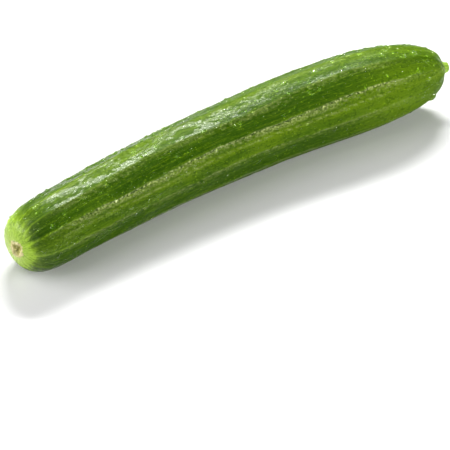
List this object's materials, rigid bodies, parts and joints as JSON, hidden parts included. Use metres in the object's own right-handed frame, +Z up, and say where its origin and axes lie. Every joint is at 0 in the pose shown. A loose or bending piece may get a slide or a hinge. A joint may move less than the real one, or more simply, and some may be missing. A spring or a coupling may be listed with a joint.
{
  "type": "cucumber",
  "caption": "Whole fresh cucumber with a gentle bow, soft lengthwise ridges, a corky blossom scar and a short stub of stem, lying on its side.",
  "frame": {"origin": "middle of the footprint, on the surface that the cucumber lies on", "axes": "+X along the fruit from the blossom end to the stem end, +Y towards the outside of its bow, +Z up from the surface"},
  "size_m": [0.3042, 0.0554, 0.0492],
  "materials": {
    "cucumber_skin": "satin",
    "stem_flesh": "satin"
  },
  "bodies": {
    "root": {"fruit": "cucumber_skin", "stem_stub": "stem_flesh"}
  },
  "joints": []
}
